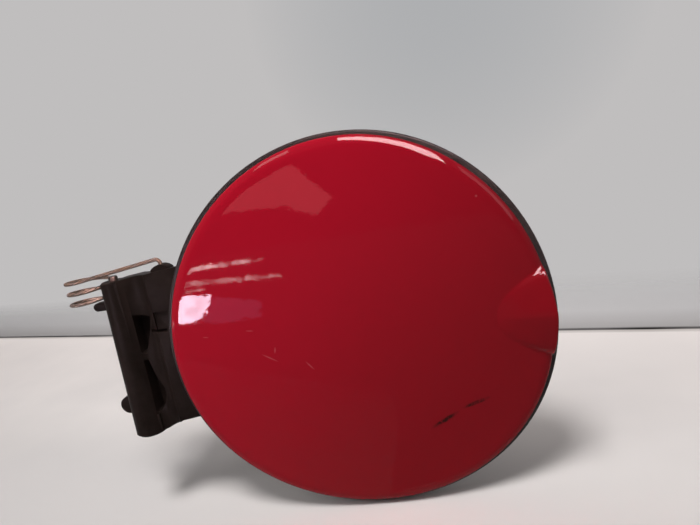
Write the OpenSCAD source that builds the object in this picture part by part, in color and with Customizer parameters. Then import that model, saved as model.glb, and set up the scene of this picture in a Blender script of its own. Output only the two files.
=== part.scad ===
// Round fuel door: a painted outer cover clipped to a black moulded inner panel,
// carried by a gooseneck arm that swings on a steel pin in a screwed hinge base.
// The origin lies midway between the two fixing holes, on the face that is screwed to the body.
// +Z runs up the hinge pin, the painted face looks to -Y, and +X points to the finger lip.

/* [Outer cover] */
// Diameter of the painted cover
cover_d = 168; // [150:1:190]
// Wall of the cover moulding
cover_wall = 2.2; // [1.6:0.1:3]
// Height of the crown above the rim plane
dome_rise = 4.5; // [2.5:0.5:7]
// Radius of the rolled edge
edge_r = 2.5; // [1.5:0.25:3]
// Depth of the edge behind the rim plane
edge_depth = 4.5; // [4:0.25:6]
// Length of the finger lip, from its tip on the face to the edge
lip_l = 23.6; // [20:0.2:28]
// Width of the finger lip at the edge
lip_w = 40; // [36:1:44]
// Height of the lip's edge above the rim plane
lip_rise = 6.8; // [5.6:0.2:8]

/* [Snap hooks] */
// Angles of the hooks round the cover, from the finger lip
hook_angles = [40, 92, 145, 215, 268, 320];
// Distance of the hooks inside the edge of the cover
hook_inset = 11; // [10:0.5:14]
// Width of each hook
hook_w = 8; // [6:0.5:10]
// Thickness of each hook
hook_t = 2; // [1.6:0.2:2.6]
// Catch of the barb behind the panel
hook_catch = 1.2; // [0.8:0.1:1.6]

/* [Inner panel] */
// Width of the black rim that shows round the cover
rim_show = 2.75; // [1:0.25:4]
// Thickness of the panel
panel_wall = 2; // [1.6:0.2:3]
// Height of the ribs on the back
rib_h = 5.5; // [3:0.5:7]
// Thickness of the ribs
rib_w = 1.6; // [1.2:0.2:2.4]
// Distance of the outer ring rib inside the panel's edge
ring_inset = 5; // [4:0.5:6]
// Radius of the middle ring rib
hub_r = 35; // [31:1:36]
// Angles of the radial ribs, from the finger lip
rib_angles = [24, 66, 79, 105, 118, 130, 230, 242, 255, 281, 294, 336];

/* [Hinge] */
// Distance from the centre of the cover to the hinge pin
reach = 110.5; // [108:0.5:118]
// Depth of the hinge pin behind the rim plane
pin_depth = 12; // [11.5:0.5:14]
// Diameter of the hinge pin
pin_d = 4.2; // [3.6:0.1:5]
// Radius of the arm's hinge barrel at its middle
barrel_r = 7; // [6.6:0.2:7.6]
// Draft of the barrel: what its radius gains at the bottom and loses at the top
barrel_draft = 0.9; // [0:0.1:1.2]
// Height of the barrel's top end above the middle
arm_top = 37.2; // [36:0.2:38]
// Depth of the barrel's bottom end below the middle
arm_bottom = 40.5; // [39:0.5:44]
// Thickness of the arm's foot behind the panel
foot_t = 3; // [2.4:0.2:3.4]
// Length of the arm's foot along the panel
foot_l = 40; // [36:1:42]
// Height of the arm's foot
foot_h = 48; // [40:2:50]
// Depth of the cored block beside the barrel
block_d = 12; // [11:0.5:13]
// Depth of the gooseneck's valley between barrel and neck
valley_d = 3.2; // [2.4:0.2:3.6]
// Width of the valley
valley_w = 14; // [12:0.5:15]

/* [Hinge base] */
// Distance of the pin from the face that is screwed to the body
stand_off = 24; // [23:0.5:28]
// Distance of the fixing holes from the pin, along the door
hole_offset = 10.5; // [10:0.5:12]
// Spacing of the two fixing holes
hole_pitch = 44; // [40:1:50]
// Diameter of the fixing holes
hole_d = 6.6; // [5:0.2:7]
// Thickness of the base's foot plate
plate_t = 3; // [2.5:0.25:4]
// Width of the foot plate
plate_w = 26; // [25:0.5:28]
// Margin of the foot plate beyond the fixing holes
plate_end = 11; // [9:0.5:13]
// Radius of the base's knuckles round the pin
knuckle_r = 4.9; // [4.2:0.1:5]
// Length of each knuckle
knuckle_l = 17.5; // [15:0.5:18]
// Height of the upper knuckle's middle
upper_knuckle_z = 16.8; // [16:0.2:17]
// Depth of the lower knuckle's middle
lower_knuckle_z = 25.6; // [25:0.2:26]
// Thickness of the webs from the foot plate to the knuckles
web_t = 4; // [3:0.25:4.5]
// Reach of the locating tabs to the side of the pin
tab_reach = 19; // [18:0.5:20]

/* [Spring] */
// Diameter of the spring wire
wire_d = 1.8; // [1.4:0.1:2]
// Mean radius of the coil
coil_r = 10.2; // [9.5:0.1:10.6]
// Rise of the coil in one turn
coil_pitch = 5.3; // [4.5:0.1:5.6]
// Distance of the coil's axis to the side of the pin
coil_side = 17.8; // [17.5:0.1:19.5]
// Distance of the coil's axis behind the pin
coil_back = 8.5; // [8:0.25:9]

/* [Fixings and stops] */
// Diameter of the thread of the arm screws
screw_d = 4; // [3:0.2:4.5]
// Diameter of the heads of the arm screws
head_d = 8; // [7:0.5:9]
// Height of the screw heads
head_h = 2.4; // [2:0.2:3]
// Distance of the latch striker from the centre
striker_x = 48; // [46:1:50]
// Reach of the striker behind the panel
striker_reach = 19; // [16:1:24]
// Width of the striker
striker_w = 8; // [7:0.5:9]
// Length of the striker's foot
striker_foot = 29; // [28:0.5:32]
// Diameter of the thread of the striker screws
striker_screw_d = 3; // [2.5:0.1:3.2]
// Height of the striker's eye
eye_h = 8; // [6:0.5:10]
// Depth of the striker's eye
eye_d = 6.5; // [5:0.5:8]
// Distance of the rubber stops inside the edge of the cover
stop_inset = 16; // [14:0.5:18]
// Angle of the rubber stops, from the finger lip
stop_angle = 54; // [52:1:56]
// Diameter of the rubber stops
stop_d = 10; // [8:0.5:11]
// Height of the rubber stops behind the panel
stop_h = 9; // [7:0.5:12]

/* [Hidden] */
$fn = 96;
play = 0.3;          // clearance round pieces that pass through a window
turn_play = 0.4;     // clearance along the pin between knuckle and barrel
press = 0.03;        // radial clearance of a tight hole
run = 0.06;          // radial clearance of a running hole

pin_x = -hole_offset;
pin_y = -stand_off;
door_x = pin_x + reach;
rim_y = pin_y - pin_depth;
cover_r = cover_d / 2;
dome_r = (cover_r * cover_r + dome_rise * dome_rise) / (2 * dome_rise);
panel_r = cover_r + rim_show;
hook_ring = cover_r - hook_inset;
stop_ring = cover_r - stop_inset;
panel_back = edge_depth + panel_wall;
lip_tip = cover_r - lip_l;
lip_foot = dome_rise - dome_r + sqrt(dome_r * dome_r - lip_tip * lip_tip);
lip_lean = atan((lip_rise - lip_foot) / lip_l);
lip_drop = lip_rise * cos(lip_lean);
lip_r = (lip_w * lip_w / 4 + lip_drop * lip_drop) / (2 * lip_drop);
ring_r = panel_r - ring_inset;
pin_r = pin_d / 2;
bore_r = pin_r + press;
pin_head_r = pin_r + 1.3;
pin_head_h = 1.5;
neck_y = panel_back - pin_depth;
foot_right = foot_l + reach - cover_r + 4;
foot_left = reach - cover_r - 6;
block_back = block_d - 5.5;
valley_x = barrel_r + 4;
valley_r = (valley_w * valley_w / 4 + valley_d * valley_d) / (2 * valley_d);
barrel_low_r = barrel_r + barrel_draft;
barrel_top_r = barrel_r - barrel_draft;
pocket_x = barrel_r - 0.6;
hook_bend = 2.2;
plate_left = 10 - plate_w;
tab_y = barrel_r + 1;
coil_top = arm_top + 1.8;
leg_top = arm_top + 7.3;
anchor_x = reach - cover_r - 1;
leg_y = coil_back - coil_r;
lug_top = leg_top - hook_bend - 0.2;
screw_x = [reach - cover_r + 0.3 * foot_l, reach - cover_r + 0.9 * foot_l];
screw_z = foot_h / 3;
boss_h = 0.8 * panel_wall;
hook_top = dome_rise - dome_r + sqrt(dome_r * dome_r - hook_ring * hook_ring) - cover_wall / 2;
web_z = foot_h / 6;
striker_screw_z = striker_foot / 2 - striker_w / 2;
striker_screw_r = striker_screw_d / 2;
striker_foot_t = 0.3 * striker_w;
coil_turns = 2.5;

// Places its child on the door, with +Z of the child towards the viewer
module on_door() {
    translate([door_x, rim_y, 0])
        rotate([90, 0, 0])
            children();
}

// Places its child with the pin along its Z axis
module on_pin() {
    translate([pin_x, pin_y, 0])
        children();
}

// Half section of a domed disc with a rolled edge, from its back edge to its crown
module dome_section(r, sphere_r, rise, roll, depth) {
    drop = rise - sphere_r;
    mid = drop + sqrt(pow(sphere_r - roll, 2) - pow(r - roll, 2));
    tangent = (r - roll) * sphere_r / (sphere_r - roll);
    lean = asin(tangent / sphere_r);
    polygon(concat(
        [[0, -depth]],
        [for (i = [0:16]) [tangent * i / 16, drop + sqrt(sphere_r * sphere_r - pow(tangent * i / 16, 2))]],
        [for (i = [1:6])
            let (a = (90 - lean) * (1 - i / 6))
                [r - roll + roll * cos(a), mid + roll * sin(a)]],
        [[r, -depth]]));
}

// Leaning barrel under the finger lip, made smaller by a wall and kept above a depth
module lip_barrel(wall, depth, out) {
    intersection() {
        translate([lip_tip, 0, lip_foot])
            rotate([0, 90 - lip_lean, 0])
                translate([lip_r, 0, -lip_l / 2])
                    cylinder(r = lip_r - wall, h = 2 * lip_l, $fn = 192);
        translate([0, 0, -depth])
            cylinder(r = cover_r + out, h = depth + lip_rise + 4);
    }
}

// Hook that passes through the panel and catches behind it
module snap_hook() {
    translate([hook_ring, hook_w / 2, 0])
        rotate([90, 0, 0])
            linear_extrude(hook_w)
                polygon([[0, hook_top], [0, -panel_back], [-hook_catch, -panel_back],
                         [-hook_catch, -panel_back - 0.6], [0.6, -panel_back - 3],
                         [hook_t, -panel_back - 3], [hook_t, hook_top]]);
}

// Painted cover: domed face, rolled edge, finger lip and snap hooks
module outer_cover() {
    color([0.57, 0.05, 0.11])
        on_door() {
            difference() {
                union() {
                    rotate_extrude()
                        dome_section(cover_r, dome_r, dome_rise, edge_r, edge_depth);
                    lip_barrel(0, edge_depth, 0);
                }
                rotate_extrude()
                    dome_section(cover_r - cover_wall, dome_r - cover_wall, dome_rise - cover_wall,
                                 0.4, edge_depth + 1);
                lip_barrel(cover_wall, edge_depth + 1, 1);
            }
            for (a = hook_angles)
                rotate([0, 0, a])
                    snap_hook();
        }
}

// Black inner panel: flat disc with a rounded rim, ring ribs, radial ribs and hook windows
module inner_panel() {
    color([0.13, 0.12, 0.12])
        on_door()
            difference() {
                union() {
                    rotate_extrude() {
                        translate([0, -panel_back])
                            polygon(concat([[0, 0]],
                                [for (a = [-90:22.5:90])
                                    [panel_r + panel_wall / 2 * (cos(a) - 1), panel_wall / 2 * (sin(a) + 1)]],
                                [[0, panel_wall]]));
                        for (r = [ring_r, hub_r])
                            translate([r - rib_w, -panel_back - rib_h])
                                square([rib_w, rib_h + 0.2]);
                    }
                    for (a = rib_angles)
                        rotate([0, 0, a])
                            translate([hub_r - rib_w / 2, -rib_w / 2, -panel_back - rib_h + 1])
                                cube([ring_r - hub_r, rib_w, rib_h - 0.8]);
                    for (x = screw_x, z = [-1, 1])
                        translate([x - reach, z * screw_z, -panel_back])
                            cylinder(r = screw_d, h = panel_wall + boss_h);
                    for (z = [-1, 1])
                        translate([striker_x, z * striker_screw_z, -panel_back])
                            cylinder(r = 2 * striker_screw_r, h = panel_wall + boss_h);
                }
                for (a = hook_angles)
                    rotate([0, 0, a])
                        translate([hook_ring - play, -hook_w / 2 - play, -panel_back - rib_h])
                            cube([hook_t + hook_catch + 2 * play, hook_w + 2 * play, rib_h + panel_wall + 1]);
                for (x = screw_x, z = [-1, 1])
                    translate([x - reach, z * screw_z, -panel_back - 1])
                        cylinder(r = screw_d / 2 + press, h = panel_wall + boss_h + 0.4);
                for (z = [-1, 1])
                    translate([striker_x, z * striker_screw_z, -panel_back - 1])
                        cylinder(r = striker_screw_r + press, h = panel_wall + boss_h + 0.4);
                for (z = [-1, 1])
                    rotate([0, 0, z * stop_angle])
                        translate([stop_ring, 0, -panel_back - 1])
                            cylinder(r = stop_d / 4 + press, h = panel_wall + 2);
                translate([-ring_r - 1, -arm_bottom, -panel_back - rib_h - 1])
                    cube([ring_r - hub_r, arm_bottom + leg_top, rib_h + 1]);
            }
}

// Section of the arm beside its barrel: cored block, neck under the panel's rim and foot
module arm_section() {
    polygon([[0, neck_y], [foot_right, neck_y], [foot_right, neck_y + foot_t],
             [reach - cover_r + 3, neck_y + foot_t], [19, neck_y + 7], [14, block_back - 1.5],
             [13, block_back], [4, block_back], [0, 2]]);
}

// Outline of the arm seen from the front
module arm_outline() {
    polygon([[0, arm_top], [reach - cover_r + 8, arm_top + 3.2], [reach - cover_r + 11, foot_h / 2],
             [foot_right - 3, foot_h / 2], [foot_right, foot_h / 2 - 3],
             [foot_right, 3 - foot_h / 2], [foot_right - 3, -foot_h / 2],
             [reach - cover_r + 11, -foot_h / 2], [reach - cover_r + 2, 7.2 - arm_bottom],
             [19.5, 6 - arm_bottom], [10, 1.5 - arm_bottom], [4, -arm_bottom], [0, -arm_bottom]]);
}

// Hinge barrel with the draft of its moulding and broken ends
module arm_barrel() {
    rotate_extrude()
        polygon([[0, -arm_bottom], [barrel_low_r - 0.9, -arm_bottom], [barrel_low_r, 0.9 - arm_bottom],
                 [barrel_top_r, arm_top - 0.6], [barrel_top_r - 0.6, arm_top], [0, arm_top]]);
}

// Rounded lug that holds the spring's hook
module spring_lug() {
    intersection() {
        translate([anchor_x - 4.5, leg_y - 2.2, arm_top - 1])
            cube([9, 5.2, lug_top + 1 - arm_top]);
        translate([anchor_x, leg_y + 4, lug_top - 6])
            rotate([90, 0, 0])
                cylinder(r = 6, h = 8);
    }
}

// Room for a knuckle of the base and for its web over the whole swing
module knuckle_room(z) {
    translate([0, 0, z - knuckle_l / 2 - turn_play]) {
        cylinder(r = knuckle_r + turn_play, h = knuckle_l + 2 * turn_play);
        rotate([0, 0, 58])
            rotate_extrude(angle = 154)
                square([barrel_r + 4, knuckle_l + 2 * turn_play]);
    }
}

// Gooseneck arm: hinge barrel, cored pockets, neck, spring lug and foot
module hinge_arm() {
    color([0.17, 0.15, 0.14])
        on_pin()
            difference() {
                union() {
                    difference() {
                        intersection() {
                            translate([0, 0, -arm_bottom])
                                linear_extrude(arm_bottom + leg_top)
                                    arm_section();
                            rotate([90, 0, 0])
                                linear_extrude(60, center = true)
                                    arm_outline();
                        }
                        translate([valley_x, neck_y + valley_d - valley_r, -arm_bottom - 1])
                            cylinder(r = valley_r, h = arm_bottom + leg_top + 2);
                    }
                    arm_barrel();
                    for (z = [-web_z, web_z])
                        translate([0, 0, z - 1])
                            linear_extrude(2)
                                polygon([[13, 2], [13, block_back], [foot_right - 6, neck_y + foot_t + 0.6],
                                         [foot_right - 3, neck_y + foot_t - 1], [reach - cover_r, neck_y + 1]]);
                    spring_lug();
                    translate([barrel_r - 1.5, -4.4, 1 - arm_bottom])
                        cube([2, 4, 9]);
                }
                for (z = [upper_knuckle_z, -lower_knuckle_z])
                    knuckle_room(z);
                translate([0, 0, -arm_bottom - 1])
                    cylinder(r = bore_r, h = arm_bottom + arm_top + 2);
                translate([0, 0, -arm_bottom - 1])
                    cylinder(r = pin_head_r + play, h = pin_head_h + 1.3);
                translate([0, block_back - 2.5, 0])
                    rotate([90, 0, 0])
                        linear_extrude(20) {
                            polygon([[pocket_x, 20.2], [15, 18.8], [12.3, 9.8], [8.4, 0.8], [pocket_x, 1.4]]);
                            polygon([[pocket_x, -2.4], [8.4, -2.8], [9.9, -11.4], [12.8, -18],
                                     [12.6, -21.6], [11.2, -25.6], [7.6, -30], [pocket_x, -29]]);
                        }
                translate([13.8, neck_y - 4, 10.8])
                    cube([9, 7.5, 1.4]);
                translate([18, neck_y - 1, 12.2])
                    cube([7, 1.8, 8.6]);
                for (x = screw_x, z = [-1, 1])
                    translate([x, neck_y - 1, z * screw_z])
                        rotate([-90, 0, 0])
                            cylinder(r = screw_d / 2 + press, h = foot_t + 6);
                translate([anchor_x, leg_y, arm_top - 1])
                    cylinder(r = wire_d / 2 + run, h = 10);
            }
}

// Screws that hold the arm's foot to the panel
module arm_screws() {
    color([0.45, 0.45, 0.47])
        on_pin()
            for (x = screw_x, z = [-1, 1])
                translate([x, neck_y + foot_t, z * screw_z])
                    rotate([-90, 0, 0])
                        difference() {
                            union() {
                                translate([0, 0, -foot_t - panel_wall - boss_h + 0.8])
                                    cylinder(r = screw_d / 2, h = foot_t + panel_wall + boss_h);
                                rotate_extrude()
                                    intersection() {
                                        square([head_d / 2, head_h]);
                                        translate([0, head_h - head_d])
                                            circle(r = head_d);
                                    }
                            }
                            for (a = [0, 90])
                                rotate([0, 0, a])
                                    translate([-head_d / 4, -0.5, head_h - 1.4])
                                        cube([head_d / 2, 1, 2]);
                        }
}

// Locating tab that reaches out to the side of the pin with a rounded end
module side_tab(z, r, t) {
    translate([0, tab_y, z]) {
        rotate([-90, 0, 0])
            translate([r - tab_reach, 0, 0])
                cylinder(r = r, h = t);
        translate([r - tab_reach, 0, -r])
            cube([tab_reach - r, t, 2 * r]);
    }
}

// Fixed base: foot plate, two knuckles on webs, a spine and two locating tabs
module hinge_base() {
    color([0.15, 0.14, 0.14])
        difference() {
            union() {
                for (x = [plate_left + 4, plate_left + plate_w - 4], z = [-1, 1])
                    translate([x, 0, z * (hole_pitch / 2 + plate_end - 4)])
                        rotate([90, 0, 0])
                            cylinder(r = 4, h = plate_t);
                translate([plate_left + 4, -plate_t, -hole_pitch / 2 - plate_end])
                    cube([plate_w - 8, plate_t, hole_pitch + 2 * plate_end]);
                translate([plate_left, -plate_t, 4 - hole_pitch / 2 - plate_end])
                    cube([plate_w, plate_t, hole_pitch + 2 * plate_end - 8]);
                on_pin() {
                    for (z = [upper_knuckle_z, -lower_knuckle_z])
                        translate([0, 0, z - knuckle_l / 2]) {
                            cylinder(r = knuckle_r, h = knuckle_l);
                            translate([-web_t / 2, 0, 0])
                                cube([web_t, stand_off - plate_t / 2, knuckle_l]);
                        }
                    translate([-web_t / 2, barrel_r + 6, -lower_knuckle_z - knuckle_l / 2])
                        cube([web_t, stand_off - plate_t / 2 - barrel_r - 6,
                              lower_knuckle_z + knuckle_l / 2 + leg_low + 3]);
                    side_tab(upper_knuckle_z + knuckle_l / 2 - 2, 2, 4);
                    side_tab(-lower_knuckle_z - 4, 4.5, 3);
                    for (z = [upper_knuckle_z, -lower_knuckle_z])
                        translate([0, 0, z - 1])
                            linear_extrude(2)
                                polygon([[-web_t / 2, barrel_r + 3], [0, barrel_r + 3], [0, stand_off - 1],
                                         [plate_left - pin_x + 1, stand_off - 1],
                                         [plate_left - pin_x + 1, stand_off - plate_t]]);
                }
            }
            for (z = [-1, 1])
                translate([0, 1, z * hole_pitch / 2])
                    rotate([90, 0, 0])
                        cylinder(r = hole_d / 2, h = plate_t + 2);
            on_pin() {
                translate([0, 0, -lower_knuckle_z - knuckle_l])
                    cylinder(r = pin_r + run, h = lower_knuckle_z + upper_knuckle_z + 2 * knuckle_l);
                translate([-web_t, coil_back + coil_r, leg_low])
                    rotate([0, 90, 0])
                        cylinder(r = wire_d / 2 + run, h = web_t + 0.8);
            }
        }
}

// Steel hinge pin with a flat head below and a chamfered end above
module hinge_pin() {
    color([0.5, 0.48, 0.46])
        on_pin()
            rotate_extrude()
                polygon([[0, 0.3 - arm_bottom], [pin_head_r, 0.3 - arm_bottom],
                         [pin_head_r, 0.3 - arm_bottom + pin_head_h], [pin_r, 0.3 - arm_bottom + pin_head_h],
                         [pin_r, arm_top + 1.9], [pin_r - 0.5, arm_top + 2.4], [0, arm_top + 2.4]]);
}

// Route of the spring wire: hook, upper leg, coil and lower leg
function coil_point(t) =
    [-coil_side - coil_r * sin(360 * t), coil_back - coil_r * cos(360 * t), coil_top - coil_pitch * t];
leg_slope = atan2(leg_top - coil_top, anchor_x + coil_side);
leg_low = coil_top - coil_pitch * coil_turns;
wire_points = concat(
    [[anchor_x, leg_y, arm_top + 1]],
    [for (i = [0:5])
        let (a = i * (90 - leg_slope) / 5)
            [anchor_x - hook_bend + hook_bend * cos(a), leg_y, leg_top - hook_bend + hook_bend * sin(a)]],
    [for (i = [0:50]) coil_point(coil_turns * i / 50)],
    [[0.2, coil_back + coil_r, leg_low]]);
// Side direction of the wire's section at each point of the route
wire_sides = concat(
    [for (i = [0:6]) [0, -1, 0]],
    [for (i = [0:50]) [-sin(360 * coil_turns * i / 50), -cos(360 * coil_turns * i / 50), 0]],
    [[0, 1, 0]]);

// Round wire swept along the points of a route
module wire(points, sides, r, n) {
    last = len(points) - 1;
    rings = [for (i = [0:last])
        let (a = points[max(i - 1, 0)],
             b = points[min(i + 1, last)],
             t = (b - a) / norm(b - a),
             w = cross(t, sides[i]))
            for (k = [0:n - 1])
                points[i] + r * (cos(360 * k / n) * sides[i] + sin(360 * k / n) * w)];
    polyhedron(points = rings, faces = concat(
        [[for (k = [0:n - 1]) k]],
        [for (i = [0:last - 1], k = [0:n - 1])
            [i * n + k, (i + 1) * n + k, (i + 1) * n + (k + 1) % n, i * n + (k + 1) % n]],
        [[for (k = [n - 1:-1:0]) last * n + k]]));
}

// Torsion spring between the base and the anchor on the arm
module hinge_spring() {
    color([0.35, 0.3, 0.27])
        on_pin()
            wire(wire_points, wire_sides, wire_d / 2, 10);
}

// Striker with an eye for the lock pin, on a foot with two screw holes
module latch_striker() {
    color([0.14, 0.13, 0.13])
        on_door()
            difference() {
                translate([striker_x - striker_w / 2, 0, 0])
                    rotate([90, 0, 90])
                        linear_extrude(striker_w)
                            difference() {
                                polygon([[3.5 - striker_screw_z, -panel_back],
                                         [striker_screw_z - 3.5, -panel_back],
                                         [eye_h / 2 + 3, 5 - panel_back - striker_reach],
                                         [eye_h / 2, -panel_back - striker_reach],
                                         [-eye_h / 2, -panel_back - striker_reach],
                                         [-eye_h / 2 - 3, 5 - panel_back - striker_reach]]);
                                translate([-eye_h / 2, 3 - panel_back - striker_reach])
                                    square([eye_h, eye_d]);
                            }
                translate([striker_x - striker_w, -striker_foot / 2, -panel_back])
                    cube([2 * striker_w, striker_foot, panel_back]);
            }
    color([0.14, 0.13, 0.13])
        on_door()
            difference() {
                translate([striker_x - striker_w / 2 - 1.5, -striker_foot / 2, -panel_back - striker_foot_t])
                    cube([striker_w + 3, striker_foot, striker_foot_t]);
                for (z = [-1, 1])
                    translate([striker_x, z * striker_screw_z, -panel_back - striker_foot_t - 1])
                        cylinder(r = striker_screw_r + press, h = striker_foot_t + 2);
            }
}

// Screws of the striker
module striker_screws() {
    color([0.45, 0.45, 0.47])
        on_door()
            for (z = [-1, 1])
                translate([striker_x, z * striker_screw_z, -panel_back - striker_foot_t]) {
                    translate([0, 0, -striker_screw_r])
                        cylinder(r = 1.85 * striker_screw_r, h = striker_screw_r);
                    cylinder(r = striker_screw_r, h = striker_foot_t + panel_wall + boss_h / 2);
                }
}

// Rubber stop with a stem through the panel and a lip that holds it
module rubber_stop(side) {
    color([0.1, 0.1, 0.1])
        on_door()
            rotate([0, 0, side * stop_angle])
                translate([stop_ring, 0, -panel_back])
                    rotate_extrude()
                        polygon([[0, -stop_h], [stop_d / 2 - 1.5, -stop_h], [stop_d / 2 - 0.4, 1 - stop_h],
                                 [stop_d / 2, 0], [stop_d / 4, 0], [stop_d / 4, panel_wall],
                                 [stop_d / 4 + 0.9, panel_wall], [stop_d / 4, panel_wall + 1.3],
                                 [0, panel_wall + 1.3]]);
}

module upper_stop() { rubber_stop(1); }
module lower_stop() { rubber_stop(-1); }

outer_cover();
inner_panel();
hinge_arm();
arm_screws();
hinge_base();
hinge_pin();
hinge_spring();
latch_striker();
striker_screws();
upper_stop();
lower_stop();
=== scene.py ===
"""Round fuel door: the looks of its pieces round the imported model, on a white board under soft lamps."""
from math import atan, atan2, cos, pi, radians, sin, sqrt, tan

import bmesh
import bpy
from mathutils import Matrix, Vector


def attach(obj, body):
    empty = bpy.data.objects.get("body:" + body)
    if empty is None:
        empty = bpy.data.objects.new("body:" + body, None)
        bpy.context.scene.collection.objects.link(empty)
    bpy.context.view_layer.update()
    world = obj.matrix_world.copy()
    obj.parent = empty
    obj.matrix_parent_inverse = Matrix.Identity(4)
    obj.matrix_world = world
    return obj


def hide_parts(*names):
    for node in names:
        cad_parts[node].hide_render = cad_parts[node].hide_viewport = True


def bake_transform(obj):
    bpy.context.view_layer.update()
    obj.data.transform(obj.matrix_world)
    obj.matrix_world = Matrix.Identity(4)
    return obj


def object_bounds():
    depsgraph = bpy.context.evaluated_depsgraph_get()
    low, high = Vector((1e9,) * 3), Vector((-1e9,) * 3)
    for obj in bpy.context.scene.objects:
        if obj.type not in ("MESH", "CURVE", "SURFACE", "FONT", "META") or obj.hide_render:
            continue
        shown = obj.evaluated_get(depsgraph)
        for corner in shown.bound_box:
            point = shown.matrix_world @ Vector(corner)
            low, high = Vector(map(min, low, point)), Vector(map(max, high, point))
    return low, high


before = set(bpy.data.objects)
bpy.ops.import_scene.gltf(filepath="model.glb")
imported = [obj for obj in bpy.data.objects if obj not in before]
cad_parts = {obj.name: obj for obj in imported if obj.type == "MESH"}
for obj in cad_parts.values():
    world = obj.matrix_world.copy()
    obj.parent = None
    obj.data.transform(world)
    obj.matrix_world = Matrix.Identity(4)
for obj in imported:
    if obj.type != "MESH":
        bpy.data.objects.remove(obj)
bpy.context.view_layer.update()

MM = 0.001

# Sizes of the door in millimetres, as the solids have them
COVER_R, WALL, RISE, EDGE_DEPTH = 84.0, 2.2, 4.5, 4.5
DOME_R = (COVER_R ** 2 + RISE ** 2) / (2 * RISE)
LIP_L, LIP_W, LIP_RISE = 23.6, 40.0, 6.8
LIP_TIP = COVER_R - LIP_L
LIP_FOOT = RISE - DOME_R + sqrt(DOME_R ** 2 - LIP_TIP ** 2)
LIP_LEAN = atan((LIP_RISE - LIP_FOOT) / LIP_L)
LIP_R = (LIP_W ** 2 / 4 + LIP_RISE ** 2) / (2 * LIP_RISE)
# The ridge's fold, as a share of the lip's half width, the share of its height that rolls down at the foot, how
# steeply it does, and the fillet where it meets the dome
LIP_FOLD, FOOT_ROLL, FOOT_POWER, LIP_FILLET = 0.1, 0.25, 12, 0.6
# Half widths out from the ridge at which the foot is well below the dome, and the height that stands for no lip
FOOT_END, NO_LIP = 1.4, -99.0
# Centre of the cover's rim plane, and a point on the hinge pin at the same height
DOOR = Vector((100.0, -36.0, 0.0))
PIN = Vector((-10.5, -24.0, 0.0))

# The rolled edge: the dome bends down from ROLL_START and ends in a small round of EDGE_R
ROLL_START, EDGE_R, ROLL_ANGLE, ROLL_POWER = 77.0, 1.8, radians(32), 2.5
ROLL_END = COVER_R - EDGE_R * (1 - sin(ROLL_ANGLE))
# Small break of the cover's free edge, and the round where the lip runs out over the edge
EDGE_BREAK, LIP_ROUND = 0.25, 0.9

# Snap hooks: angles round the cover from the lip, their distance inside its edge, width, thickness, barb and corners
HOOK_ANGLES = (40, 92, 145, 215, 268, 320)
HOOK_INSET, HOOK_W, HOOK_T, BARB, HOOK_ROUND = 11.0, 8.0, 2.0, 1.2, 0.2

# Black panel: radius from which its rim follows the cover's outline, over what width, its radius at the top, and how
# far the top is pressed down so that it stays within the solid
RIM_START, RIM_SPAN, RIM_TOP, RIM_PRESS = 78.0, 6.0, 87.6, 0.87


def linear(code):
    """Linear colour of an sRGB hex value."""
    parts = [int(code[i:i + 2], 16) / 255 for i in (1, 3, 5)]
    return tuple(v / 12.92 if v <= 0.04045 else ((v + 0.055) / 1.055) ** 2.4 for v in parts) + (1.0,)


def add(tree, kind, sockets=None, out=0, stops=(), **settings):
    """Adds a node with its settings, its values or links by socket and its colour stops, and gives one output."""
    node = tree.nodes.new("ShaderNode" + kind)
    for name, value in settings.items():
        setattr(node, name, value)
    for key, value in (sockets or {}).items():
        if isinstance(value, bpy.types.NodeSocket):
            tree.links.new(value, node.inputs[key])
        else:
            node.inputs[key].default_value = linear(value) if isinstance(value, str) else value
    for place, tone in stops:
        first = place == stops[0][0]
        stop = node.color_ramp.elements[0] if first else node.color_ramp.elements.new(place)
        stop.position, stop.color = place, linear(tone)
    if stops:
        node.color_ramp.elements.remove(node.color_ramp.elements[len(stops)])
    return node.outputs[out] if node.outputs else None


def begin(name):
    """New empty material, with its tree and its Object coordinates in millimetres."""
    material = bpy.data.materials.new(name)
    material.use_nodes = True
    tree = material.node_tree
    tree.nodes.clear()
    place = add(tree, "TexCoord", out="Object")
    return material, tree, add(tree, "VectorMath", {"Vector": place, "Scale": 1000.0}, operation="SCALE")


def mark(tree, mm, start, end, width, soft):
    """Mask of a long mark on the face between two points, given across and up from the door's centre."""
    lean = atan2(end[1] - start[1], end[0] - start[0])
    half = sqrt((end[0] - start[0]) ** 2 + (end[1] - start[1]) ** 2) / 2
    middle = (DOOR.x + (start[0] + end[0]) / 2, 0.0, (start[1] + end[1]) / 2)
    local = add(tree, "Mapping", {"Vector": mm, "Location": middle, "Rotation": (0.0, -lean, 0.0),
                                  "Scale": (half, 1e6, width / 2)}, vector_type="TEXTURE")
    away = add(tree, "VectorMath", {0: local}, out="Value", operation="LENGTH")
    faded = add(tree, "Math", {0: away, 1: soft}, operation="POWER")
    return add(tree, "Math", {0: 1.0, 1: faded}, operation="SUBTRACT", use_clamp=True)


# Places of the wear on the face, in millimetres across and up from the door's centre: start, end, width
RUBS = (((25.8, -46.9), (39.6, -39.6), 2.6), ((40.2, -38.7), (53.8, -34.7), 2.2))
SCRATCHES = (((-68.3, 8.5), (-65.0, 8.1), 0.7), ((-47.7, 9.4), (-43.6, 8.9), 0.6),
             ((-42.7, -2.0), (-35.3, -6.5), 0.8), ((-23.6, -7.4), (-20.0, -12.1), 0.8),
             ((-36.4, -2.6), (-35.6, 0.8), 0.8), ((56.7, 52.1), (57.9, 52.1), 1.2))


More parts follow.
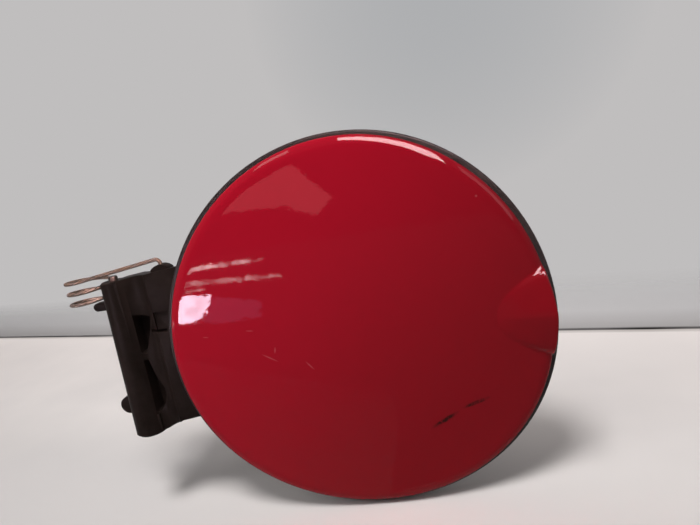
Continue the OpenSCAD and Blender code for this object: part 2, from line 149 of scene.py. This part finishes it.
def body_paint():
    """Red paint of the cover."""
    # Two-layer car paint sprayed on a moulded cover: a deep, even red under a wet-looking clear coat that mirrors
    # windows and tubes sharply and lets them waver where the moulding does, with two dark rubs and pale scratches
    material, tree, mm = begin("red_car_paint_under_clear_coat")
    # A faint cloud, 60 mm across, keeps the red from lying flat
    cloud = add(tree, "TexNoise", {"Vector": mm, "Scale": 1 / 60, "Detail": 1.0})
    colour = add(tree, "Mix", {0: cloud, 6: "#9e071e", 7: "#a30a22"}, out=2, data_type="RGBA")
    # Painted shade: the red darkens towards the lower right, where the face lies in shade
    lower_right = add(tree, "VectorMath", {0: mm, 1: (0.72, 0.0, -0.69)}, out="Value", operation="DOT_PRODUCT")
    painted_shade_share = add(tree, "MapRange", {"Value": lower_right, "From Min": 5.0, "From Max": 145.0},
               interpolation_type="SMOOTHSTEP")
    colour = add(tree, "Mix", {0: painted_shade_share, 6: colour, 7: "#7c0a15"}, out=2, data_type="RGBA")
    # Rubs: grey-brown where something scraped, broken up by a 2 mm grain
    grain = add(tree, "TexNoise", {"Vector": mm, "Scale": 1 / 2.0, "Detail": 4.0, "Roughness": 0.7})
    broken = add(tree, "MapRange", {"Value": grain, "From Min": 0.3, "From Max": 0.6})
    for start, end, width in RUBS:
        rub = mark(tree, mm, start, end, width, 1.6)
        torn = add(tree, "Math", {0: rub, 1: broken}, operation="MULTIPLY")
        strong = add(tree, "Math", {0: torn, 1: 1.5}, operation="MULTIPLY", use_clamp=True)
        colour = add(tree, "Mix", {0: strong, 6: colour, 7: "#340a08"}, out=2, data_type="RGBA")
    # Scratches in the clear coat: real ones are 0.1 mm wide, drawn at 0.6 to 0.8 mm so that they show
    for start, end, width in SCRATCHES:
        scratch = mark(tree, mm, start, end, width, 2.0)
        faint = add(tree, "Math", {0: scratch, 1: 0.22}, operation="MULTIPLY")
        colour = add(tree, "Mix", {0: faint, 6: colour, 7: "#d8848c"}, out=2, data_type="RGBA")
    # Slow waves of the moulding, 30 mm long, ripples of 6 mm and orange peel; real peel is 1 mm, drawn at 2 mm
    waves = add(tree, "TexNoise", {"Vector": mm, "Scale": 1 / 30, "Detail": 0.0})
    ripples = add(tree, "TexNoise", {"Vector": mm, "Scale": 1 / 6, "Detail": 1.5})
    peel = add(tree, "TexNoise", {"Vector": mm, "Scale": 1 / 2.0, "Detail": 1.0})
    slow = add(tree, "Math", {0: waves, 1: 0.030}, operation="MULTIPLY")
    middling = add(tree, "Math", {0: ripples, 1: 0.0135, 2: slow}, operation="MULTIPLY_ADD")
    height = add(tree, "Math", {0: peel, 1: 0.0095, 2: middling}, operation="MULTIPLY_ADD")
    skin = add(tree, "Bump", {"Strength": 1.0, "Distance": MM, "Height": height})
    surface = add(tree, "BsdfPrincipled", {
        "Base Color": colour, "Roughness": 0.5, "Specular IOR Level": 0.0, "Coat Weight": 0.3,
        "Coat Roughness": 0.03, "Coat IOR": 1.45, "Coat Normal": skin})
    add(tree, "OutputMaterial", {"Surface": surface})
    return material


def moulded_plastic(name, dark, light, rough, shine, grain):
    """Moulded black plastic or rubber."""
    # Injection moulded plastic with a spark-eroded skin: nearly black, with browner patches 14 mm across where hands
    # have dulled it, dust in specks of 3 mm, a soft wide sheen, and a fine grain; real grain is 0.1 mm, drawn at
    # 0.6 mm so that it shows
    material, tree, mm = begin(name)
    patches = add(tree, "TexNoise", {"Vector": mm, "Scale": 1 / 14, "Detail": 3.0, "Roughness": 0.6})
    dust = add(tree, "TexNoise", {"Vector": mm, "Scale": 1 / 3, "Detail": 4.0, "Roughness": 0.65})
    tone = add(tree, "Math", {0: patches, 1: dust}, operation="MULTIPLY")
    colour = add(tree, "ValToRGB", {"Fac": tone}, stops=((0.12, dark), (0.5, light)))
    dull = add(tree, "MapRange", {"Value": patches, "From Min": 0.3, "From Max": 0.7,
                                  "To Min": rough - 0.08, "To Max": rough + 0.1})
    fine = add(tree, "TexNoise", {"Vector": mm, "Scale": 1 / 0.6, "Detail": 2.0})
    height = add(tree, "Math", {0: fine, 1: grain}, operation="MULTIPLY")
    skin = add(tree, "Bump", {"Strength": 0.5, "Distance": MM, "Height": height})
    surface = add(tree, "BsdfPrincipled", {
        "Base Color": colour, "Roughness": dull, "IOR": 1.5, "Specular IOR Level": shine, "Normal": skin})
    add(tree, "OutputMaterial", {"Surface": surface})
    return material


def aged_steel(name, clean, stain, rust, share, rough):
    """Steel of the spring, the pin or the screws."""
    # Drawn or plated steel that has aged: a dull skin with brown stains 4.5 mm across, and specks of matt rust that
    # take the metal's shine away; real specks are 0.2 mm, drawn at 0.8 mm so that they show
    material, tree, mm = begin(name)
    blotch = add(tree, "TexNoise", {"Vector": mm, "Scale": 1 / 4.5, "Detail": 5.0, "Roughness": 0.65})
    speck = add(tree, "TexNoise", {"Vector": mm, "Scale": 1 / 0.8, "Detail": 3.0, "Roughness": 0.6})
    skin = add(tree, "Mix", {0: blotch, 6: clean, 7: stain}, out=2, data_type="RGBA")
    both = add(tree, "Math", {0: speck, 1: 0.5, 2: blotch}, operation="MULTIPLY_ADD")
    spots = add(tree, "MapRange", {"Value": both, "From Min": share, "From Max": share + 0.2})
    colour = add(tree, "Mix", {0: spots, 6: skin, 7: rust}, out=2, data_type="RGBA")
    metallic = add(tree, "MapRange", {"Value": spots, "To Min": 0.85, "To Max": 0.1})
    dull = add(tree, "MapRange", {"Value": spots, "To Min": rough, "To Max": rough + 0.3})
    pitted = add(tree, "Math", {0: speck, 1: 0.06}, operation="MULTIPLY")
    bumps = add(tree, "Bump", {"Strength": 0.6, "Distance": MM, "Height": pitted})
    surface = add(tree, "BsdfPrincipled", {
        "Base Color": colour, "Metallic": metallic, "Roughness": dull, "Normal": bumps})
    add(tree, "OutputMaterial", {"Surface": surface})
    return material


PAINT = body_paint()
BARE = moulded_plastic("unpainted_plastic_back", "#1d1919", "#2a2523", 0.5, 0.4, 0.01)
PANEL = moulded_plastic("black_moulded_polypropylene", "#1e1919", "#2e2826", 0.5, 0.12, 0.012)
ARM = moulded_plastic("brown_black_glass_filled_nylon", "#18120f", "#241d1b", 0.45, 0.02, 0.016)
RUBBER = moulded_plastic("black_stop_rubber", "#0e0e0e", "#191817", 0.75, 0.3, 0.02)
WIRE = aged_steel("rusty_spring_wire", "#6f635a", "#463c34", "#6b5240", 0.72, 0.55)
PIN_STEEL = aged_steel("dull_pin_steel", "#564b45", "#382f2b", "#4f392c", 0.92, 0.4)
ZINC = aged_steel("zinc_plated_steel", "#b7b4a9", "#9a978c", "#8d8270", 1.12, 0.3)


def piece(name, mesh, body, finishes, replaced=(), crease=30.0):
    """Object from a bmesh in metres, smooth but for its creases, that rides on a body."""
    data = bpy.data.meshes.new(name)
    for edge in mesh.edges:
        edge.smooth = len(edge.link_faces) == 2 and edge.calc_face_angle(0.0) < radians(crease)
    for face in mesh.faces:
        face.smooth = True
    mesh.to_mesh(data)
    mesh.free()
    made = bpy.data.objects.new(name, data)
    bpy.context.scene.collection.objects.link(made)
    for finish in finishes:
        data.materials.append(finish)
    if body:
        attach(made, body)
    if replaced:
        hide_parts(*replaced)
    return made


def outline_shift(around):
    """How far the real outline stands out of a true circle, in millimetres: three slight lobes of a cooled moulding."""
    across, up = -0.47, -0.83
    return across * cos(3 * around) + up * sin(3 * around)


def softened(node, width, steps=2, angle=25.0):
    """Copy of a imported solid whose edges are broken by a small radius, as a moulding's are."""
    mesh = bmesh.new()
    mesh.from_mesh(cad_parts[node].data)
    bmesh.ops.remove_doubles(mesh, verts=mesh.verts, dist=1e-6)
    bmesh.ops.dissolve_limit(mesh, angle_limit=radians(0.5), verts=mesh.verts, edges=mesh.edges)
    sharp = [e for e in mesh.edges if len(e.link_faces) == 2 and e.calc_face_angle(0.0) > radians(angle)]
    bmesh.ops.bevel(mesh, geom=sharp, offset=width * MM, offset_type="OFFSET", segments=steps, profile=0.5,
                    affect="EDGES", clamp_overlap=True, material=-1)
    return mesh


def lobed_panel():
    """Inner panel whose rim follows the cover's outline, kept within the solid's height."""
    mesh = softened("inner_panel", 0.22)
    centre = DOOR * MM
    for v in mesh.verts:
        x, z = v.co.x - centre.x, v.co.z - centre.z
        r = sqrt(x * x + z * z) / MM
        share = min(max((r - RIM_START) / RIM_SPAN, 0.0), 1.0)
        if share:
            grown = 1 + share * outline_shift(atan2(z, x)) / r
            v.co.x = centre.x + x * grown
            z *= grown
            v.co.z = z - RIM_PRESS * MM * share * max(z / MM / RIM_TOP, 0.0) ** 4
    return mesh


def smooth_max(a, b, width):
    """Larger of two heights, joined by a fillet of that width."""
    gap = max(width - abs(a - b), 0.0) / width
    return max(a, b) + gap * gap * width / 4


def lip_height(x, z, wall):
    """Height of the finger lip over the rim plane, or NO_LIP where there is none: a folded ridge, nearly flat flanks,
    and a foot that rolls down to the dome along a rounded outline."""
    ridge = LIP_FOOT + (x - LIP_TIP) * tan(LIP_LEAN)
    rise = ridge - dome(min(x, COVER_R))
    if rise < 0.02 or x < LIP_TIP:
        return NO_LIP
    u = abs(z) / sqrt(2 * LIP_R * rise - rise * rise)
    if u > FOOT_END:
        return NO_LIP
    fold = (sqrt(u * u + LIP_FOLD ** 2) - LIP_FOLD) / (sqrt(1 + LIP_FOLD ** 2) - LIP_FOLD)
    return ridge - rise * ((1 - FOOT_ROLL) * fold + FOOT_ROLL * u ** FOOT_POWER) - wall / cos(LIP_LEAN)


def dome(r, wall=0.0):
    """Height of the dome's skin over the rim plane, at a radius."""
    return RISE - DOME_R + sqrt((DOME_R - wall) ** 2 - r * r)


def rolled(r):
    """Height of the outer skin where it bends down towards the edge."""
    t = (r - ROLL_START) / (ROLL_END - ROLL_START)
    steep = tan(ROLL_ANGLE) - ROLL_END / sqrt(DOME_R ** 2 - ROLL_END ** 2)
    return dome(r) - steep * (ROLL_END - ROLL_START) / (ROLL_POWER + 1) * max(t, 0.0) ** (ROLL_POWER + 1)


def cover():
    """Painted cover: spun dome with a rolled edge, raised into the finger lip, with its snap hooks."""
    inner_r = COVER_R - WALL
    # Section of the cover: outer skin, rolled edge, free edge with its breaks, inner skin
    outer = [(r, dome(r)) for r in [0, 6, 12, 18, 24, 30, 36, 42, 48, 52]]
    outer += [(r, rolled(r)) for r in [54 + (ROLL_END - 54) * i / 42 for i in range(43)]]
    middle = rolled(ROLL_END) - EDGE_R * cos(ROLL_ANGLE)
    outer += [(COVER_R - EDGE_R + EDGE_R * sin(a), middle + EDGE_R * cos(a))
              for a in [ROLL_ANGLE + (pi / 2 - ROLL_ANGLE) * i / 7 for i in range(1, 8)]]
    top = outer[-1][1]
    skirt = [(COVER_R, top + (EDGE_BREAK - EDGE_DEPTH - top) * i / 4) for i in range(1, 5)]
    skirt += [(COVER_R - EDGE_BREAK, -EDGE_DEPTH), (inner_r + EDGE_BREAK, -EDGE_DEPTH)]
    inner_top = dome(inner_r - 0.6, WALL) - 0.6
    skirt += [(inner_r, EDGE_BREAK - EDGE_DEPTH), (inner_r, inner_top), (inner_r - 0.2, inner_top + 0.4)]
    inner = [(r, dome(r, WALL)) for r in [inner_r - 0.7 - 1.7 * i for i in range(14)] + [54, 45, 36, 27, 18, 9, 0]]
    mesh = bmesh.new()
    points = [mesh.verts.new((r, 0, h)) for r, h in outer + skirt + inner]
    lines = [mesh.edges.new(pair) for pair in zip(points, points[1:])]
    bmesh.ops.spin(mesh, geom=points + lines, cent=(0, 0, 0), axis=(0, 0, 1), angle=2 * pi, steps=600,
                   use_merge=True)
    bmesh.ops.remove_doubles(mesh, verts=mesh.verts, dist=1e-4)
    # Raise the lip out of it: in turn the outside of the edge, its lower end, its inside, the outer and the inner skin
    for v in mesh.verts:
        x, y, h = v.co
        r = sqrt(x * x + y * y)
        over, under = lip_height(x, y, 0.0), lip_height(x, y, WALL)
        if over < -EDGE_DEPTH - 1:
            continue
        out = max(r - (COVER_R - LIP_ROUND), 0.0)
        over -= LIP_ROUND - sqrt(max(LIP_ROUND ** 2 - out * out, 0.0))
        foot = max(-EDGE_DEPTH, under)
        if r > COVER_R - 1e-3 and h <= top + 1e-6:
            share = (h + EDGE_DEPTH) / (top + EDGE_DEPTH)
            v.co.z = foot + share * (smooth_max(top, over, LIP_FILLET) - foot)
        elif r > inner_r + 0.2 and h < -EDGE_DEPTH + 0.1:
            v.co.z = foot
        elif r > inner_r - 0.01 and h < inner_top - 1e-6:
            v.co.z = max(h, under)
        elif h >= dome(min(r, inner_r), WALL) + WALL / 3 or r > inner_r:
            v.co.z = smooth_max(h, over, LIP_FILLET)
        else:
            v.co.z = smooth_max(h, under, LIP_FILLET)
    bmesh.ops.dissolve_degenerate(mesh, dist=1e-4, edges=mesh.edges)
    bmesh.ops.recalc_face_normals(mesh, faces=mesh.faces)
    # Paint outside, bare plastic inside
    for f in mesh.faces:
        centre = f.calc_center_median()
        r = sqrt(centre.x ** 2 + centre.y ** 2)
        f.material_index = 0 if f.normal.z > 0.02 or r > inner_r + 0.1 else 1
    # Snap hooks with a ramped barb that catches behind the panel
    ring, back = COVER_R - HOOK_INSET, -(EDGE_DEPTH + 2.0)
    root = dome(ring, WALL) + WALL / 2
    for a in HOOK_ANGLES:
        outline = [(0, root), (0, back), (-BARB, back), (-BARB, back - 0.6), (0.6, back - 3), (HOOK_T, back - 3),
                   (HOOK_T, root)]
        corners = [mesh.verts.new((ring + p, -HOOK_W / 2, q)) for p, q in outline]
        side = mesh.faces.new(corners)
        far = bmesh.ops.extrude_face_region(mesh, geom=[side])["geom"]
        moved = [v for v in far if isinstance(v, bmesh.types.BMVert)]
        bmesh.ops.translate(mesh, verts=moved, vec=(0, HOOK_W, 0))
        hook = set(corners) | set(moved)
        faces = {f for v in hook for f in v.link_faces}
        bmesh.ops.recalc_face_normals(mesh, faces=list(faces))
        edges = {e for v in hook for e in v.link_edges}
        made = bmesh.ops.bevel(mesh, geom=list(edges), offset=HOOK_ROUND, offset_type="OFFSET", segments=2,
                               profile=0.5, affect="EDGES", clamp_overlap=True, material=-1)
        bits = {v for f in made["faces"] for v in f.verts} | {v for v in hook if v.is_valid}
        for v in bits:
            for f in v.link_faces:
                f.material_index = 1
        bmesh.ops.rotate(mesh, verts=list(bits), cent=(0, 0, 0), matrix=Matrix.Rotation(radians(a), 3, "Z"))
    # The real outline isn't quite round; then the cover is turned to face forwards and set in its place
    for v in mesh.verts:
        r = sqrt(v.co.x ** 2 + v.co.y ** 2)
        if r > 1:
            grown = 1 + (r / COVER_R) ** 4 * outline_shift(atan2(v.co.y, v.co.x)) / r
            v.co.x, v.co.y = v.co.x * grown, v.co.y * grown
    bmesh.ops.rotate(mesh, verts=mesh.verts, cent=(0, 0, 0), matrix=Matrix.Rotation(pi / 2, 3, "X"))
    bmesh.ops.translate(mesh, verts=mesh.verts, vec=DOOR)
    bmesh.ops.scale(mesh, verts=mesh.verts, vec=(MM, MM, MM))
    return piece("painted_cover", mesh, "door", [PAINT, BARE], ["outer_cover"], 50.0)


def spring():
    """Coil, hooked upper leg and lower leg of the torsion spring, as one round wire."""
    side, back, radius, pitch, turns, wire = 17.8, 8.5, 10.2, 5.3, 2.5, 1.8
    top, leg_top, anchor, bend = 39.0, 44.5, 25.5, 2.2
    slope = atan2(leg_top - top, anchor + side)
    route = [(anchor, back - radius, 38.2 + 0.5 * i) for i in range(3)]
    route += [(anchor - bend + bend * cos(a), back - radius, leg_top - bend + bend * sin(a))
              for a in [i * (pi / 2 - slope) / 8 for i in range(9)]]
    ends = route[-1], (-side, back - radius, top)
    route += [tuple(p + (q - p) * i / 12 for p, q in zip(*ends)) for i in range(1, 12)]
    route += [(-side - radius * sin(2 * pi * t), back - radius * cos(2 * pi * t), top - pitch * t)
              for t in [turns * i / 150 for i in range(151)]]
    low = route[-1]
    route += [(low[0] + (0.2 - low[0]) * i / 10, low[1], low[2]) for i in range(1, 11)]
    curve = bpy.data.curves.new("wire_route", "CURVE")
    curve.dimensions = "3D"
    curve.bevel_depth, curve.bevel_resolution, curve.use_fill_caps = wire / 2 * MM, 4, True
    line = curve.splines.new("POLY")
    line.points.add(len(route) - 1)
    for point, place in zip(line.points, route):
        point.co = [*((Vector(place) + PIN) * MM), 1.0]
    drawn = bpy.data.objects.new("wire_route", curve)
    bpy.context.scene.collection.objects.link(drawn)
    mesh = bmesh.new()
    mesh.from_mesh(bpy.data.meshes.new_from_object(drawn.evaluated_get(bpy.context.evaluated_depsgraph_get())))
    bpy.data.objects.remove(drawn)
    bmesh.ops.remove_doubles(mesh, verts=mesh.verts, dist=1e-6)
    bmesh.ops.recalc_face_normals(mesh, faces=mesh.faces)
    made = piece("spring_wire", mesh, None, [WIRE], ["hinge_spring"], 60.0)
    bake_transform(made)
    return made


cover()
spring()
piece("lobed_panel", lobed_panel(), "door", [PANEL], ["inner_panel"])
for node, body, finish, slot, width in (
        ("hinge_arm", "door", ARM, "arm_plastic", 0.5),
        ("hinge_base", "base", ARM, "arm_plastic", 0.4),
        ("latch_striker", "door", PANEL, "panel_plastic", 0.4),
        ("arm_screws", "door", ZINC, "screw_steel", 0.12),
        ("striker_screws", "door", ZINC, "screw_steel", 0.2),
        ("hinge_pin", "door", PIN_STEEL, "pin_steel", 0.2),
        ("upper_stop", "door", RUBBER, "stop_rubber", 0.3),
        ("lower_stop", "door", RUBBER, "stop_rubber", 0.3)):
    piece("soft_" + node, softened(node, width), body, [finish], [node])

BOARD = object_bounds()[0][2]


def seen_directly(tree, rest=0.0):
    """1 for what the camera, gloss and glass see, and the rest for light that scatters."""
    camera_ray = add(tree, "LightPath", out="Is Camera Ray")
    glossy_ray = add(tree, "LightPath", out="Is Glossy Ray")
    clear_ray = add(tree, "LightPath", out="Is Transmission Ray")
    seen = add(tree, "Math", {0: camera_ray, 1: glossy_ray}, operation="MAXIMUM")
    seen = add(tree, "Math", {0: seen, 1: clear_ray}, operation="MAXIMUM")
    return add(tree, "MapRange", {"Value": seen, "To Min": rest, "To Max": 1.0})


def staged(name, mesh, material):
    """Object of the set, which isn't part of the door."""
    data = bpy.data.meshes.new(name)
    mesh.to_mesh(data)
    mesh.free()
    data.materials.append(material)
    made = bpy.data.objects.new(name, data)
    bpy.context.scene.collection.objects.link(made)
    return made


def board():
    """White board that meets a grey one behind the door along a straight joint."""
    mesh = bmesh.new()
    bmesh.ops.create_grid(mesh, x_segments=1, y_segments=1, size=4.0)
    bmesh.ops.translate(mesh, verts=mesh.verts, vec=(0.1, 0, BOARD))
    # Painted board: matt, near white behind the door and greyer in front of it with painted shade, faintly clouded, and
    # grey again beyond the joint, darkened next to it by painted shade; the joint shows as a dark line of painted shade
    # about 9 mm wide
    material, tree, mm = begin("matt_painted_board")
    beyond = add(tree, "VectorMath", {0: mm, 1: (0.2982, 0.9545, 0.0)}, out="Value", operation="DOT_PRODUCT")
    beyond = add(tree, "Math", {0: beyond, 1: 214.0}, operation="SUBTRACT")
    # Clouds of wiped dust, 120 mm across
    cloud = add(tree, "TexNoise", {"Vector": mm, "Scale": 1 / 120, "Detail": 3.0})
    # Painted shade: the board darkens towards the front of the door
    near = add(tree, "MapRange", {"Value": beyond, "From Min": -350.0, "From Max": -150.0})
    white = add(tree, "Mix", {0: near, 6: "#9a9797", 7: "#fdf6f3"}, out=2, data_type="RGBA")
    white = add(tree, "Mix", {0: cloud, 6: white, 7: "#d2cece"}, out=2, data_type="RGBA")
    # Painted shade: the grey beyond the joint is darker close to it, as in the corner where table met wall
    shade = add(tree, "MapRange", {"Value": beyond, "From Min": 0.0, "From Max": 45.0})
    grey = add(tree, "Mix", {0: shade, 6: "#c4c0c0", 7: "#e6e3e4"}, out=2, data_type="RGBA")
    far = add(tree, "MapRange", {"Value": beyond, "From Min": -1.0, "From Max": 1.0})
    colour = add(tree, "Mix", {0: far, 6: white, 7: grey}, out=2, data_type="RGBA")
    # Painted shade: a dark line along the joint, where the table met the wall
    off_line = add(tree, "Math", {0: beyond}, operation="ABSOLUTE")
    joint_shade_mask = add(tree, "MapRange", {"Value": off_line, "From Min": 6.0, "From Max": 3.0})
    # The painted shade along the joint is darker here and there, over some 60 mm
    uneven = add(tree, "TexNoise", {"Vector": mm, "Scale": 1 / 60, "Detail": 1.0})
    joint_shade_depth = add(tree, "MapRange", {"Value": uneven, "From Min": 0.3, "From Max": 0.7, "To Min": 0.65, "To Max": 1.0})
    joint_shade_mask = add(tree, "Math", {0: joint_shade_mask, 1: joint_shade_depth}, operation="MULTIPLY")
    colour = add(tree, "Mix", {0: joint_shade_mask, 6: colour, 7: "#262322"}, out=2, data_type="RGBA")
    painted = add(tree, "BsdfPrincipled", {"Base Color": colour, "Roughness": 0.7, "Specular IOR Level": 0.0})
    # Painted light: seen directly, the board glows lighter towards the joint, as under a wide ceiling of lamps; the
    # shadow stays
    glow = add(tree, "Emission", {"Color": "#fff4f0", "Strength": seen_directly(tree)})
    painted_light_lift = add(tree, "MapRange", {"Value": beyond, "From Min": -210.0, "From Max": 0.0, "To Max": 0.52})
    this_side = add(tree, "Math", {0: 1.0, 1: far}, operation="SUBTRACT")
    painted_light_lift = add(tree, "Math", {0: painted_light_lift, 1: this_side}, operation="MULTIPLY")
    painted = add(tree, "MixShader", {0: painted_light_lift, 1: painted, 2: glow})
    # Beyond the joint, and far off all round, the board fades away in front of the wall, so that no horizon shows
    away = add(tree, "MapRange", {"Value": beyond, "From Min": 20.0, "From Max": 160.0})
    distance = add(tree, "VectorMath", {0: mm}, out="Value", operation="LENGTH")
    all_round = add(tree, "MapRange", {"Value": distance, "From Min": 450.0, "From Max": 1300.0},
                    interpolation_type="SMOOTHSTEP")
    away = add(tree, "Math", {0: away, 1: all_round}, operation="MAXIMUM")
    distant = add(tree, "BsdfTransparent")
    surface = add(tree, "MixShader", {0: away, 1: painted, 2: distant})
    add(tree, "OutputMaterial", {"Surface": surface})
    staged("board", mesh, material)


def card(name, corners, strength, tint="#ffffff", ragged=0.0):
    """Panel that only gloss shows, as a window, a tube or the dark room is seen in the paint."""
    mesh = bmesh.new()
    mesh.faces.new([mesh.verts.new(Vector(c) * MM) for c in corners])
    material, tree, mm = begin(name)
    # A ragged card is brighter and darker every 22 mm or so, as a tube seen through dusty glass is
    flecks = add(tree, "TexNoise", {"Vector": mm, "Scale": 1 / 22, "Detail": 3.0, "Roughness": 0.6})
    power = add(tree, "MapRange", {"Value": flecks, "From Min": 0.38, "From Max": 0.6,
                                   "To Min": strength * (1 - ragged), "To Max": strength})
    glow = add(tree, "Emission", {"Color": tint, "Strength": power})
    add(tree, "OutputMaterial", {"Surface": glow})
    made = staged(name, mesh, material)
    made.visible_camera = made.visible_diffuse = made.visible_shadow = made.visible_transmission = False


def lamp(name, place, aim, size, power, tint):
    """Soft rectangular lamp that looks at a point; gloss shows the cards in its stead."""
    data = bpy.data.lights.new(name, "AREA")
    data.shape, data.size, data.size_y, data.energy, data.color = "RECTANGLE", *size, power, linear(tint)[:3]
    made = bpy.data.objects.new(name, data)
    made.location = place
    made.rotation_euler = (Vector(aim) - Vector(place)).to_track_quat("-Z", "Y").to_euler()
    made.visible_glossy = False
    bpy.context.scene.collection.objects.link(made)


board()
# What the paint mirrors: a dark room and its floor, whose card also lies as painted shade on the table just in front of
# the door, a window low on the left, tubes over it, a shelf and a blind, and windows high up that light the top edge
# and the crease of the lip
card("room", [(-3000, -2600, -80), (3000, -2600, -80), (3000, -2600, 1500), (-3000, -2600, 1500)], 0.3)
# Beyond the table's edge this card is the room's dark floor; its part in front of the door is a dark sheet of painted
# shade
card("room_floor_and_table_shade", [(-1500, -790, -85), (-129, -233, -85), (52, -166, -85), (106, -143, -85), (108, -97, -85),
                    (106, -65, -85), (102, -43, -85), (300, -60, -85), (900, -60, -85), (2600, -2600, -85),
                    (-2600, -2600, -85)], 0.42)
card("window", [(-262, -318, -19), (-216, -351, -25), (-166, -375, -34), (-170, -372, -44), (-168, -373, -48),
                (-176, -367, -55), (-174, -368, -61), (-183, -361, -64), (-181, -363, -69), (-191, -358, -68),
                (-194, -356, -73), (-219, -344, -71), (-262, -309, -60)], 84.0, "#fbe9ff", 0.3)
card("tube_a", [(-205, -359, 15), (-138, -390, 13), (-80, -410, 10), (-81, -409, 7), (-139, -389, 6),
                (-206, -359, 8)], 42.0, "#ffeef0", 0.95)
card("tube_b", [(-210, -356, -7), (-130, -392, -13), (-56, -414, -20), (-57, -414, -24), (-131, -391, -19),
                (-210, -355, -14)], 26.0, "#ffeef0", 0.95)
card("tube_c", [(-207, -357, -20), (-173, -373, -21), (-174, -373, -24), (-207, -356, -23)], 26.0, "#ffeef0", 0.6)
card("tube_d", [(-212, -354, -13), (-176, -371, -15), (-176, -371, -17), (-212, -354, -15)], 26.0, "#ffeef0", 0.6)
card("shelf", [(-419, -917, 132), (-205, -995, 122), (-100, -1020, 74), (-41, -1026, 128), (-165, -989, 254),
               (-335, -945, 202)], 6.5, "#ff9a9f")
card("blind", [(-185, -388, -39), (-98, -419, -59), (-110, -408, -99), (-191, -379, -80)], 2.4, "#e8c8ff")
card("high_window", [(59, -539, 569), (210, -596, 492), (311, -617, 426), (350, -642, 357), (461, -582, 376),
                     (519, -398, 538), (398, -352, 642), (230, -370, 686), (63, -363, 701)], 72.0, "#ffe0e3", 0.5)
card("high_tube", [(-319, -439, 498), (-155, -489, 559), (-176, -328, 662), (-313, -275, 613)], 14.0, "#ffe8ea",
     0.6)
card("right_wall", [(688, -502, 127), (541, -533, 370), (617, -350, 485), (792, -313, 211)], 5.0, "#ffc8cc")
card("left_wall", [(-624, -297, -80), (-677, -37, -56), (-640, -14, -247), (-601, -262, -247)], 7.0, "#ffe0e4")
lamp("key", (-0.30, -0.34, 0.36), (0.04, -0.03, 0.03), (0.25, 0.25), 0.8, "#fffdfb")
lamp("top", (0.02, -0.34, 0.69), (0.06, -0.02, 0.0), (0.2, 0.2), 5.3, "#fffefd")

world = bpy.data.worlds.new("room_light")
bpy.context.scene.world = world
world.use_nodes = True
sky = world.node_tree
sky.nodes.clear()
# The wall behind is a little darker towards the top middle
across = add(sky, "VectorMath", {0: add(sky, "TexCoord", out="Generated"), 1: (0.10, 0.97, 0.22)}, out="Value",
             operation="DOT_PRODUCT")
dusk = add(sky, "MapRange", {"Value": across, "From Min": 0.945, "From Max": 1.0})
wall = add(sky, "Mix", {0: dusk, 6: "#c0bebe", 7: "#aeafb1"}, out=2, data_type="RGBA")
add(sky, "OutputWorld", {"Surface": add(sky, "Background", {"Color": wall, "Strength": seen_directly(sky, 0.34)})})

# A phone's main lens, 230 mm from the door, above it and a little to its right
camera = bpy.data.objects.new("camera", bpy.data.cameras.new("camera"))
bpy.context.scene.collection.objects.link(camera)
camera.data.lens, camera.data.sensor_width = 27.05, 36.0
camera.data.clip_start, camera.data.clip_end = 0.01, 20.0
camera.location = (0.13067, -0.25094, 0.07869)
camera.rotation_mode = "QUATERNION"
camera.rotation_quaternion = (Matrix.Rotation(radians(7.425), 3, "Z") @ Matrix.Rotation(radians(90 - 12.063), 3, "X")
                              @ Matrix.Rotation(radians(-9.74), 3, "Z")).to_quaternion()
bpy.context.scene.camera = camera
bpy.context.scene.view_settings.view_transform = "Standard"
